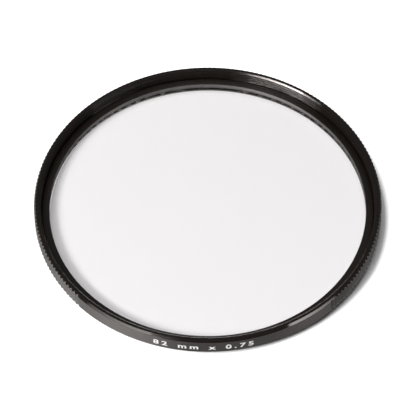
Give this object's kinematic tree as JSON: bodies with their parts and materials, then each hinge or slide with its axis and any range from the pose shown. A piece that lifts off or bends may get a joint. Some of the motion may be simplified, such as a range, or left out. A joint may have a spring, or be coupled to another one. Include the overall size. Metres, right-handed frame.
{
  "type": "screw-in lens filter",
  "caption": "Round screw-in camera lens filter: a black turned ring with a fluted grip and a filter thread at each end, holding a flat clear glass under a retaining ring.",
  "frame": {"origin": "on the optical axis at the rear end face, which the filter lies on when it is put down front up", "axes": "+Z along the optical axis out of the front thread, towards the scene; -Y through the middle of the plain sector of the grip; +X to the right of someone who looks at that sector"},
  "size_m": [0.0844, 0.0844, 0.006],
  "materials": {
    "anodised_ring": "satin black anodised",
    "coated_glass": "polished, with a faint coating",
    "anodised_retainer": "satin black anodised"
  },
  "bodies": {
    "root": {"mount_ring": "anodised_ring", "filter_glass": "coated_glass", "retaining_ring": "anodised_retainer"}
  },
  "joints": []
}
